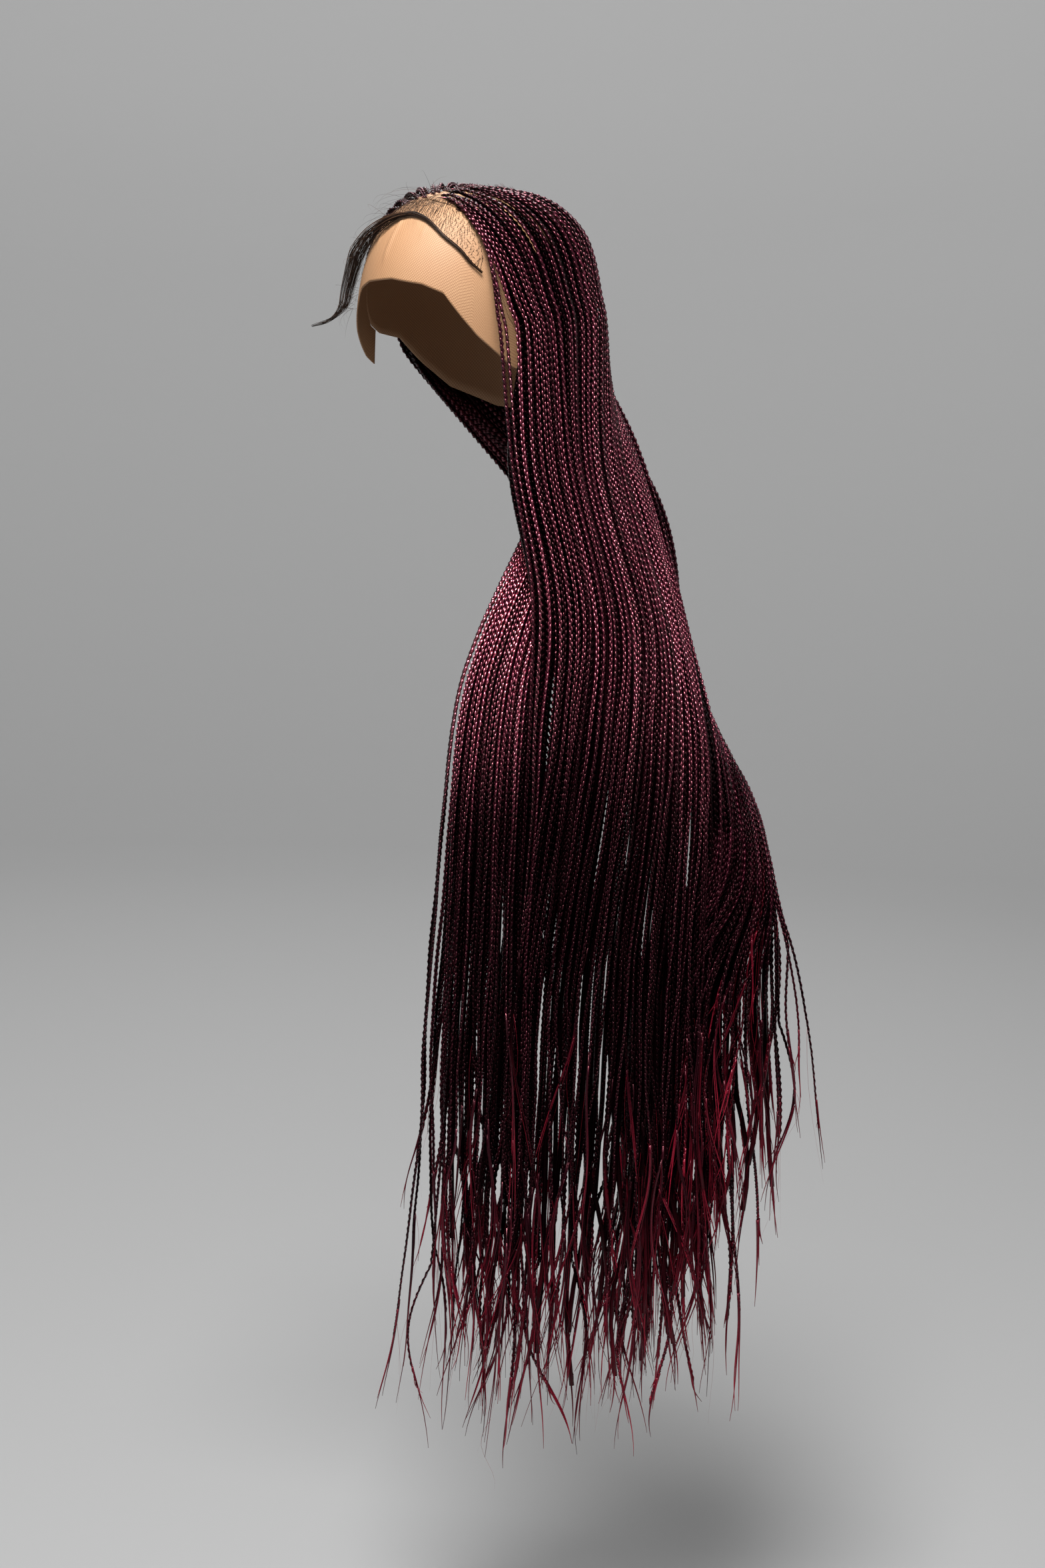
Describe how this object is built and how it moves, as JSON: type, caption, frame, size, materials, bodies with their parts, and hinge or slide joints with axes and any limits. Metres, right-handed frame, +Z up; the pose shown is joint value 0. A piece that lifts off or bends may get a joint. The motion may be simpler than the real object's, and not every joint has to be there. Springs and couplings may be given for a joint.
{
  "type": "braided lace front wig",
  "caption": "Long burgundy braided wig on a hollow lace cap with a skin-toned lace front, a laid brown hairline lock, and braids dressed forward over the left shoulder.",
  "frame": {"origin": "where the top of the wearer's head touches the inside of the cap at the crown", "axes": "+Z up along the wearer's neck and head, -Y the way the wearer looks, +X the wearer's left"},
  "size_m": [0.392, 0.2747, 1.0042],
  "materials": {
    "lace": "fine skin-toned hair lace net",
    "brown_hair": "loose dark brown hair",
    "burgundy_hair": "braided synthetic hair, burgundy with black strands, redder at the tips"
  },
  "bodies": {
    "root": {"lace_cap": "lace", "lace_front": "lace", "baby_hair": "brown_hair", "braids_near": "burgundy_hair", "braids_far": "burgundy_hair", "braids_nape": "burgundy_hair"}
  },
  "joints": []
}
